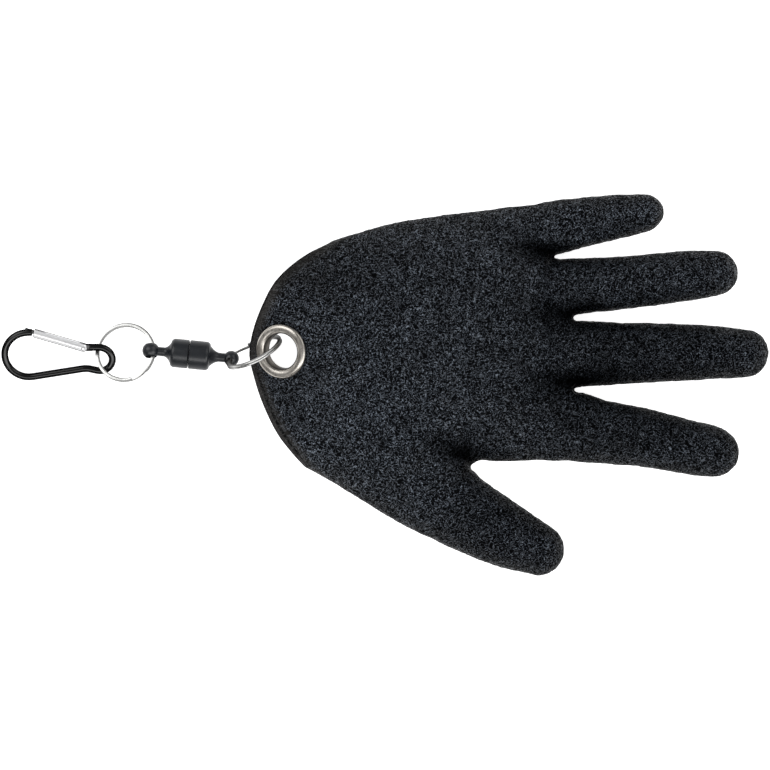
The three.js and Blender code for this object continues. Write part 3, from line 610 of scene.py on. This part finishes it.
# Draws the points near the rim onto it in a few rounds, so that the cut edge stays crisp
def pullToRim(points, edges, rimTree):
    g = glove
    for _ in range(g["rimRounds"]):
        found = [rimTree.find(Vector(point)) for point in points]
        onRim = np.array([hit[0] for hit in found])
        rim = np.array([hit[2] for hit in found]) / mm + g["rimGap"]
        stretch = (rim - g["rimHold"]) * g["rimReach"] / (g["rimReach"] - g["rimHold"])
        wanted = np.where(rim < g["rimReach"], np.maximum(g["rimKeep"] * rim, stretch), rim)
        points = onRim + (points - onRim) * (wanted / rim)[:, None]
        nearRim = np.clip(2.0 - wanted / g["rimHold"], 0, 1)[:, None]
        points = relax(points, edges, (0.5,) * g["rimPasses"], nearRim)
    return points


# Height of the dried latex over a point: fine worms, puckers and slow swells
def crinkleAt(place):
    g = glove
    worm = 1 - 2 * abs(noise.noise(place / g["crinkleSize"]))
    pucker = noise.noise(place / g["puckerSize"] + Vector((7, 3, 1)))
    swell = noise.noise(place / g["swellSize"] + Vector((2, 9, 5)))
    return g["crinkle"] * (worm - 0.5) + g["puckers"] * pucker + g["swells"] * swell


# Tone of the cloth at each point with painted light and shade, by its place and by how much it faces up:
# painted shade where it faces away from up, painted patches of light and shade, and painted shade in the
# finger hollows
def clothToneAndPaintedLight(along, across, upright):
    g = glove
    upward = rise(upright, g["sideNormal"], g["topNormal"] - g["sideNormal"])
    tone = g["wristTone"] - g["toneDrop"] * rise(along, g["dropStart"], g["dropLength"])
    tone *= g["sideShade"] + (1 - g["sideShade"]) * upward
    for area in lightAndShadePatches:
        lengthwise = (along - area["x"]) / area["long"]
        sideways = (across - area["y"]) / area["wide"]
        tone *= 1 + area["change"] * np.exp(-(lengthwise ** 2 + sideways ** 2))
    for shadedHollow in shadedHollows:
        turn = math.radians(shadedHollow["heading"])
        dx, dy = along - shadedHollow["x"], across - shadedHollow["y"]
        lengthwise = (dx * math.cos(turn) + dy * math.sin(turn)) / shadedHollow["long"]
        sideways = (dy * math.cos(turn) - dx * math.sin(turn)) / shadedHollow["wide"]
        tone *= 1 - g["hollowShade"] * np.exp(-(lengthwise ** 2) - sideways ** 2)
    return tone


def makeGlove():
    g = glove
    skin, isOuter, rimPoints, axis, centre = readShell()
    mesh = remeshShell()
    points = readArray(mesh.vertices, "co", 3)
    edges = readArray(mesh.edges, "vertices", 2, int)
    points = relax(points, edges, g["smoothing"] * g["smoothPasses"])
    rimTree = KDTree(len(rimPoints))
    for index, point in enumerate(rimPoints):
        rimTree.insert(point, index)
    rimTree.balance()
    points = pullToRim(points, edges, rimTree)
    rim = np.array([rimTree.find(Vector(point))[2] for point in points]) / mm
    mesh.vertices.foreach_set("co", points.ravel())
    mesh.update()
    normals = readArray(mesh.vertices, "normal", 3)

    # Crinkles on the outer skin, flat under the eyelet's flange and where the glove rests
    nearest = [skin.find_nearest(Vector(point))[2] for point in points]
    outside = np.where(isOuter[nearest], 1.0, 0.0)
    crinkles = np.array([crinkleAt(Vector(point) / mm) for point in points])
    offset = points - np.array(centre)
    height = offset @ np.array(axis)
    fromEyelet = np.linalg.norm(offset - height[:, None] * np.array(axis), axis=1) / mm
    fade = rise(rim, g["fadeStart"], g["fadeLength"])
    free = rise(fromEyelet, g["underFlange"], g["flatRing"] - g["underFlange"])
    hem = g["hemLift"] * np.exp(-(((rim - g["hemMiddle"]) / g["hemSpread"]) ** 2))
    lift = crinkles * fade * free * outside + hem * outside * free
    resting = rise(points[:, 2] / mm, g["restStart"], g["restLength"])
    points = points + normals * (lift * resting * mm)[:, None]
    points[:, 2] = np.maximum(points[:, 2], g["lowest"] * mm)
    mesh.vertices.foreach_set("co", points.ravel())

    # The coating ends in a wavy line low on the sides, with bare knit below it and inside
    along, across, up = points[:, 0] / mm, points[:, 1] / mm, points[:, 2] / mm
    size = g["rippleSize"]
    ripple = np.array([noise.noise(Vector((x / size, y / size, 4.0))) for x, y in zip(along, across)])
    dipped = g["dipLine"] + g["dipRipple"] * ripple - up
    below = rise(dipped, 0, g["dipBlur"]) * (normals[:, 2] < g["dipSlope"])
    bare = np.maximum(1 - outside, below)
    tone = clothToneAndPaintedLight(along, across, normals[:, 2])
    for name, values in (("rimDistance", rim), ("bareKnit", bare), ("tone", tone)):
        layer = mesh.attributes.new(name, "FLOAT", "POINT")
        layer.data.foreach_set("value", values.astype(np.float32))
    mesh.shade_smooth()
    mesh.update()
    addPiece("gloveSkin", mesh, latex, "glove", "glove_shell")


makeGlove()
print("glove made")


# Eyelet and washer, from the upper face of the cloth

eyelet = {
    "place": placeAt(glove["eyelet"], (0.9075, -0.0279, 0.4192), (-0.4192, -0.1264, 0.8990)),
    "hole": 8.0, "wall": 0.5, "rim": 12.3, "dome": 1.7, "lift": 0.3, "foot": -3.4, "curl": 0.8,
    "soft": 0.3, "footFlare": 0.15, "curlSoft": 0.2, "rimSoft": 0.25, "lip": 0.35,
    "mouthFlare": 0.1, "lipBand": 0.5, "domeSteps": 16, "domePower": 0.75, "tarnish": 0.85,
    "cloth": 1.8, "washerIn": 8.8, "washerOut": 11.8, "washer": 0.7, "washerSoft": 0.4,
    "washerEdge": 0.1, "steps": 96,
}


def makeEyelet():
    e = eyelet
    barrel = e["hole"] + e["wall"]
    curl = barrel + e["curl"]
    base = e["foot"] - e["wall"]
    start = (e["hole"], e["foot"] - e["soft"])
    profile = [start, (e["hole"] + e["footFlare"], base), (curl - e["curlSoft"], base),
               (curl, e["foot"] - e["soft"]), (curl - e["curlSoft"], e["foot"]), (barrel, e["foot"]),
               (barrel, e["lift"]), (e["rim"] - e["soft"], e["lift"]), (e["rim"], e["lift"] + e["rimSoft"])]
    for k in range(1, e["domeSteps"]):
        turn = math.pi * k / e["domeSteps"]
        outward = 0.5 + 0.5 * math.cos(turn)
        radius = e["hole"] + e["lip"] + (e["rim"] - e["hole"] - e["lip"]) * outward
        profile.append((radius, e["lift"] + e["dome"] * math.sin(turn) ** e["domePower"]))
    profile += [(e["hole"] + e["mouthFlare"], e["lift"] + e["lipBand"]),
                (e["hole"], e["lift"] - e["mouthFlare"]), start]
    bm = bmesh.new()
    spinProfile(bm, profile, e["steps"])
    # Painted shade on the lip round the hole, where the dome turns down into the barrel
    tarnish = bm.verts.layers.float.new("tarnish")
    for vert in bm.verts:
        onLip = vert.co.xy.length < e["hole"] + e["lipBand"] and vert.co.z > e["lift"] - e["lipBand"]
        vert[tarnish] = e["tarnish"] if onLip else 0.0
    mesh = closeMesh("eyeletFlange", bm, e["place"], 50)
    addPiece("eyeletFlange", mesh, nickel, "glove", "eyelet")

    top = -(e["cloth"] + e["lift"])
    low = top - e["washer"]
    inner, outer, soft = e["washerIn"], e["washerOut"], e["washerSoft"]
    profile = [(inner, low), (outer - soft, low), (outer, top - soft), (outer, top),
               (inner, top), (inner, low)]
    bm = bmesh.new()
    spinProfile(bm, profile, e["steps"])
    softenEdges(bm, e["washerEdge"])
    mesh = closeMesh("eyeletWasher", bm, e["place"], 40)
    addPiece("eyeletWasher", mesh, nickel, "glove", "eyelet_washer")


makeEyelet()


# Split rings: flat wire spun in two turns, with a short climb between them

ringWire = {
    "radius": 12.85, "band": 1.7, "thick": 0.85, "gap": 0.1, "edge": 0.22,
    "climb": 26, "endGap": 4, "stepAngle": 4,
}
rings = [
    {"name": "ringAtGlove", "node": "split_ring_glove", "body": "glove",
     "place": placeAt((-58.778, 14.827, 13.608), (-0.4773, 0.0761, -0.8755), (0.4318, -0.8474, -0.309))},
    {"name": "ringAtClip", "node": "split_ring_clip", "body": "clip",
     "place": placeAt((-117.104, 14.668, 5.211), (0.4948, -0.8174, 0.2950), (0.1342, -0.2635, -0.9553))},
]


def makeRing(ring):
    w = ringWire
    half = w["climb"] / 2
    skip = half + w["endGap"]
    pitch = w["thick"] + w["gap"]
    upright = Matrix.Rotation(math.pi / 2, 3, "X")
    startTurn = Matrix.Rotation(math.radians(skip), 3, "Z")
    bm = bmesh.new()
    bmesh.ops.create_grid(bm, x_segments=1, y_segments=1, size=0.5)
    bmesh.ops.scale(bm, vec=(w["band"], w["thick"], 1), verts=bm.verts)
    bmesh.ops.rotate(bm, cent=(0, 0, 0), matrix=upright, verts=bm.verts)
    bmesh.ops.bevel(bm, geom=bm.verts[:], offset=w["edge"], offset_type="OFFSET", segments=2,
                    profile=0.5, affect="VERTICES", clamp_overlap=True, material=-1)
    bmesh.ops.translate(bm, vec=(w["radius"], 0, -pitch / 2), verts=bm.verts)
    bmesh.ops.rotate(bm, cent=(0, 0, 0), matrix=startTurn, verts=bm.verts)
    end = bm.faces[:] + bm.edges[:] + bm.verts[:]
    for angle, rising in ((360 - half - skip, 0), (w["climb"], pitch), (360 - half - skip, 0)):
        steps = round(angle / w["stepAngle"])
        spun = bmesh.ops.spin(bm, geom=end, cent=(0, 0, 0), axis=(0, 0, 1), dvec=(0, 0, rising / steps),
                              angle=math.radians(angle), steps=steps, use_merge=False,
                              use_normal_flip=False, use_duplicate=False)
        end = spun["geom_last"]
    mesh = closeMesh(ring["name"], bm, ring["place"], 40)
    addPiece(ring["name"], mesh, steel, ring["body"], ring["node"])


for ring in rings:
    makeRing(ring)
print("eyelet and rings made")


# Magnetic release: zero at the seam, X from the clip's eye to the glove's eye

release = {
    "place": placeAt((-88.375, 13.824, 6.8), (0.99523, -0.09758, 0), (0, 0, 1)),
    "radius": 6.5, "seam": 0.175, "seamSoft": 0.3, "chamfer": 1.8, "neck": 2.05,
    "chamferSteps": 6, "flareSteps": 10, "ballSteps": 20, "steps": 64, "holeAcross": (0.3, 0.2, 0.9),
    "magnet": 4.5, "magnetDeep": 3.0, "magnetSoft": 0.25, "pocket": 4.8, "pocketDeep": 3.3,
}
halves = [
    {"name": "releaseGloveHalf", "node": "magnet_half_glove", "body": "glove", "side": 1, "length": 9.3,
     "flare": 4.6, "reach": 9.7, "ball": 3.5, "hole": 2.15, "ring": 0},
    {"name": "releaseClipHalf", "node": "magnet_half_clip", "body": "clip", "side": -1, "length": 8.1,
     "flare": 3.0, "reach": 9.0, "ball": 3.85, "hole": 2.55, "ring": 1},
]


# Direction of a ring's wire at the point nearest to an eye
def wireDirection(ring, eye):
    place = rings[ring]["place"]
    local = place.inverted() @ eye
    turn = math.atan2(local.y, local.x)
    return (place.to_3x3() @ Vector((-math.sin(turn), math.cos(turn), 0))).normalized()


# Pocket for the magnet, body with a rounded far edge, flare down to the neck, and eye ball
def halfProfile(half):
    r = release
    far = r["seam"] + half["length"]
    bottom = r["seam"] + r["pocketDeep"]
    profile = [(0, bottom), (r["pocket"], bottom), (r["pocket"], r["seam"]),
               (r["radius"] - r["seamSoft"], r["seam"]), (r["radius"], r["seam"] + r["seamSoft"])]
    for k in range(r["chamferSteps"] + 1):
        turn = math.pi / 2 * k / r["chamferSteps"]
        radius = r["radius"] - r["chamfer"] * (1 - math.cos(turn))
        profile.append((radius, far - r["chamfer"] * (1 - math.sin(turn))))
    for k in range(1, r["flareSteps"] + 1):
        share = k / r["flareSteps"]
        swell = (r["radius"] - r["chamfer"] - r["neck"]) * (1 - share) ** 2
        profile.append((r["neck"] + swell, far + half["flare"] * share))
    start = math.atan2(math.sqrt(half["ball"] ** 2 - r["neck"] ** 2), r["neck"])
    for k in range(r["ballSteps"] + 1):
        turn = -start + (math.pi / 2 + start) * k / r["ballSteps"]
        radius = max(0.0, half["ball"] * math.cos(turn))
        profile.append((radius, far + half["reach"] + half["ball"] * math.sin(turn)))
    return profile


def makeHalf(half):
    r = release
    turnOut = Matrix.Rotation(half["side"] * math.pi / 2, 4, "Y")
    bm = bmesh.new()
    spinProfile(bm, halfProfile(half), r["steps"])
    mesh = closeMesh(half["name"], bm, r["place"] @ turnOut, 30)
    toEye = r["seam"] + half["length"] + half["reach"]
    eye = r["place"] @ Vector((half["side"] * toEye * mm, 0, 0))
    holePlace = placeAt(eye / mm, r["holeAcross"], wireDirection(half["ring"], eye))
    hole = cylinderMesh(half["hole"], 3 * half["ball"], holePlace)
    mesh = cutWith(mesh, [hole], 30)
    addPiece(half["name"], mesh, releaseBlack, half["body"], half["node"])

    bm = bmesh.new()
    addCylinder(bm, r["magnet"], r["magnetDeep"], r["steps"])
    softenEdges(bm, r["magnetSoft"])
    bmesh.ops.translate(bm, vec=(0, 0, r["seam"] + r["magnetDeep"] / 2), verts=bm.verts)
    name = half["node"].replace("half", "disc")
    mesh = closeMesh(name.replace("_", "") + "Piece", bm, r["place"] @ turnOut, 40)
    addPiece("magnetAt" + half["body"].title(), mesh, magnetPlate, half["body"], name)


for half in halves:
    makeHalf(half)
print("release made")


# Carabiner, in its own plane: zero at the middle of the small loop

carabiner = {
    "place": placeAt((-128.561, 11.653, 5.018), (1, 0, 0), (0, -0.3584, 0.9336)),
    "rod": 1.6, "sides": 24, "bigRadius": 10.8, "bigCentre": (-32.3, 2.1), "smallRadius": 5.8,
    "kink": (-6.2, -4.3), "nose": (-30.3, 12.9), "pivot": (-7.4, 5.7), "shoulder": -4.7,
    "routeStep": 0.6, "routePasses": 10, "rodSoft": 0.35,
    "tongue": 1.3, "pivotTongue": 3.2, "discShare": 0.98, "noseTongue": 1.5, "noseFoot": -0.4,
    "noseReach": 3.4, "tongueSoft": 0.12, "gate": 2.1, "gateSoft": 0.25, "domeSteps": 10,
    "gateSides": 48, "rivet": 0.75, "rivetSoft": 0.18, "rivetRoom": 0.15,
    "pivotSlot": 6.6, "noseSlot": 5.0, "gap": 0.3,
}


def arc(centre, radius, start, end, count):
    turns = [math.radians(start + (end - start) * k / count) for k in range(count + 1)]
    return [Vector((centre[0] + radius * math.cos(t), centre[1] + radius * math.sin(t), 0)) for t in turns]


# Rounds the corners of a route by sliding each point towards its neighbours
def smoothRoute(points, spacing, passes):
    even = []
    for a, b in zip(points, points[1:]):
        count = max(1, round((b - a).length / spacing))
        even += [a.lerp(b, k / count) for k in range(count)]
    even.append(points[-1])
    for _ in range(passes):
        inner = [(a + 2 * b + c) / 4 for a, b, c in zip(even, even[1:], even[2:])]
        even = [even[0]] + inner + [even[-1]]
    return even


# Draws a ring of edges along a route by extruding and turning it at each point
def sweep(bm, radius, sides, route):
    made = bmesh.ops.create_circle(bm, cap_ends=False, radius=radius, segments=sides)
    ring = made["verts"]
    heading = (route[1] - route[0]).normalized()
    turn = Vector((0, 0, 1)).rotation_difference(heading).to_matrix()
    bmesh.ops.rotate(bm, cent=(0, 0, 0), matrix=turn, verts=ring)
    bmesh.ops.translate(bm, vec=route[0], verts=ring)
    edges = [e for e in bm.edges if all(v in ring for v in e.verts)]
    bmesh.ops.contextual_create(bm, geom=edges)
    for k in range(1, len(route)):
        after = route[min(k + 1, len(route) - 1)] - route[k - 1]
        grown = bmesh.ops.extrude_edge_only(bm, edges=edges)["geom"]
        ring = [g for g in grown if isinstance(g, bmesh.types.BMVert)]
        newEdges = [g for g in grown if isinstance(g, bmesh.types.BMEdge)]
        edges = [e for e in newEdges if all(v in ring for v in e.verts)]
        turn = heading.rotation_difference(after.normalized()).to_matrix()
        bmesh.ops.rotate(bm, cent=route[k - 1], matrix=turn, verts=ring)
        bmesh.ops.translate(bm, vec=route[k] - route[k - 1], verts=ring)
        heading = after.normalized()
    bmesh.ops.contextual_create(bm, geom=edges)


# Flat tongues at the pivot and at the nose, which the gate's slots close over
def makeTongues(turn, outwards):
    c = carabiner
    bm = bmesh.new()
    length = c["shoulder"] + c["tongue"] - c["pivot"][0]
    verts = addBlock(bm, (length, c["pivotTongue"], c["tongue"]))
    bmesh.ops.translate(bm, vec=(c["pivot"][0] + length / 2, c["pivot"][1], 0), verts=verts)
    verts = addCylinder(bm, c["pivotTongue"] / 2, c["tongue"] * c["discShare"])
    bmesh.ops.translate(bm, vec=(*c["pivot"], 0), verts=verts)
    verts = addBlock(bm, (2 * c["noseReach"], c["noseTongue"], c["tongue"]))
    bmesh.ops.rotate(bm, cent=(0, 0, 0), matrix=Matrix.Rotation(turn, 3, "Z"), verts=verts)
    place = Vector(c["nose"]) + outwards * (c["noseFoot"] + c["noseTongue"] / 2)
    bmesh.ops.translate(bm, vec=(*place, 0), verts=verts)
    softenEdges(bm, c["tongueSoft"])
    mesh = bpy.data.meshes.new("tongues")
    bm.to_mesh(mesh)
    bm.free()
    return mesh


def makeFrame(turn, outwards):
    c = carabiner
    route = [Vector((c["shoulder"], c["pivot"][1], 0))] + arc((0, 0), c["smallRadius"], 90, -90, 24)
    route.append(Vector((*c["kink"], 0)))
    route += arc(c["bigCentre"], c["bigRadius"], -90, -270, 40)
    route.append(Vector((*c["nose"], 0)))
    bm = bmesh.new()
    sweep(bm, c["rod"], c["sides"], smoothRoute(route, c["routeStep"], c["routePasses"]))
    bmesh.ops.recalc_face_normals(bm, faces=bm.faces)
    softenEdges(bm, c["rodSoft"], 50)
    bm.from_mesh(makeTongues(turn, outwards))
    mesh = closeMesh("carabinerFrame", bm, c["place"], 40)
    addPiece("carabinerFrame", mesh, glossBlack, "clip", "carabiner_body")


# A round rod with a domed pivot end, slotted at both ends and drilled for the rivet
def makeGate(gatePlace, reach):
    c = carabiner
    profile = [(0, reach), (c["gate"] - c["gateSoft"], reach), (c["gate"], reach - c["gateSoft"]),
               (c["gate"], 0)]
    for k in range(1, c["domeSteps"] + 1):
        around = math.pi / 2 * k / c["domeSteps"]
        profile.append((max(0.0, c["gate"] * math.cos(around)), -c["gate"] * math.sin(around)))
    bm = bmesh.new()
    spinProfile(bm, profile, c["gateSides"])
    mesh = closeMesh("carabinerGate", bm, gatePlace @ Matrix.Rotation(math.pi / 2, 4, "Y"), 30)
    width = c["tongue"] + 2 * c["gap"]
    slotEnd = c["pivotTongue"] / 2 + 2 * c["gap"]
    pivotSize = (c["pivotSlot"], 4 * c["gate"], width)
    noseSize = (2 * c["noseSlot"], 2 * c["gate"], width)
    slots = [
        boxMesh(pivotSize, (slotEnd - c["pivotSlot"] / 2, 0, 0), gatePlace),
        boxMesh(noseSize, (reach, c["gap"] - c["noseFoot"] - c["gate"], 0), gatePlace),
        cylinderMesh(c["rivet"] + c["rivetRoom"], 6 * c["gate"], gatePlace),
    ]
    mesh = cutWith(mesh, slots, 30)
    addPiece("carabinerGate", mesh, gateMetal, "gate", "carabiner_gate")


def makeRivet(gatePlace):
    c = carabiner
    bm = bmesh.new()
    addCylinder(bm, c["rivet"], 2 * c["gate"] + c["gap"])
    softenEdges(bm, c["rivetSoft"])
    mesh = closeMesh("gateRivet", bm, gatePlace, 40)
    addPiece("gateRivet", mesh, gateMetal, "clip", "gate_pivot")


def makeCarabiner():
    c = carabiner
    toNose = Vector(c["nose"]) - Vector(c["pivot"])
    heading = toNose.normalized()
    turn = math.atan2(heading.y, heading.x)
    makeFrame(turn, Vector((heading.y, -heading.x)))
    toPivot = Matrix.Translation(Vector((*c["pivot"], 0)) * mm)
    gatePlace = c["place"] @ toPivot @ Matrix.Rotation(turn, 4, "Z")
    makeGate(gatePlace, toNose.length - c["gap"] - c["rod"] * heading.y)
    makeRivet(gatePlace)


makeCarabiner()
print("carabiner made")


# Floor, lights and camera; the lights' places and sizes are in metres, their power in watts

studio = {
    "floor": (0.93, 0.93, 0.93, 1), "floorSize": 3.0, "glow": 0.95, "world": 0.24,
    "frameWidth": 346.5, "lens": 200.0, "sensor": 36.0, "midHeight": 10.0, "farthest": 10,
    "lights": [
        {"name": "keyLight", "at": (0.75, -0.62, 0.95), "size": (0.8, 0.8), "power": 7.0},
        {"name": "fillLight", "at": (-0.85, 0.55, 0.85), "size": (0.9, 0.9), "power": 7.0},
        {"name": "backLight", "at": (0.85, 0.75, 0.8), "size": (0.9, 0.9), "power": 4.0},
        {"name": "stripLight", "at": (-0.15, -0.72, 0.95), "size": (1.2, 0.35), "power": 5.0},
    ],
}


def makeFloor():
    bm = bmesh.new()
    bmesh.ops.create_grid(bm, x_segments=1, y_segments=1, size=studio["floorSize"])
    mesh = bpy.data.meshes.new("floor")
    bm.to_mesh(mesh)
    bm.free()
    floor = bpy.data.objects.new("floor", mesh)
    scene.collection.objects.link(floor)
    material, _, shader = newMaterial("palePaper", Roughness=0.95, Specular_IOR_Level=0.1)
    shader["Base Color"].default_value = studio["floor"]
    shader["Emission Color"].default_value = studio["floor"]
    shader["Emission Strength"].default_value = studio["glow"]
    mesh.materials.append(material)


def makeLights():
    world = bpy.data.worlds.new("softRoom")
    world.use_nodes = True
    background = world.node_tree.nodes["Background"].inputs
    background["Color"].default_value = (1, 1, 1, 1)
    background["Strength"].default_value = studio["world"]
    scene.world = world
    for light in studio["lights"]:
        data = bpy.data.lights.new(light["name"], "AREA")
        data.shape = "RECTANGLE"
        data.size, data.size_y = light["size"]
        data.energy = light["power"]
        lamp = bpy.data.objects.new(light["name"], data)
        lamp.location = light["at"]
        lamp.rotation_euler = (-Vector(light["at"])).to_track_quat("-Z", "Y").to_euler()
        scene.collection.objects.link(lamp)


# The camera looks straight down from where the frame's width fills the picture
def makeCamera():
    s = studio
    data = bpy.data.cameras.new("topCamera")
    data.lens = s["lens"]
    data.sensor_width = s["sensor"]
    data.clip_end = s["farthest"]
    camera = bpy.data.objects.new("topCamera", data)
    distance = s["frameWidth"] * s["lens"] / s["sensor"] + s["midHeight"]
    camera.location = (0, 0, distance * mm)
    scene.collection.objects.link(camera)
    scene.camera = camera
    scene.view_settings.view_transform = "Standard"


makeFloor()
makeLights()
makeCamera()
print("studio made")
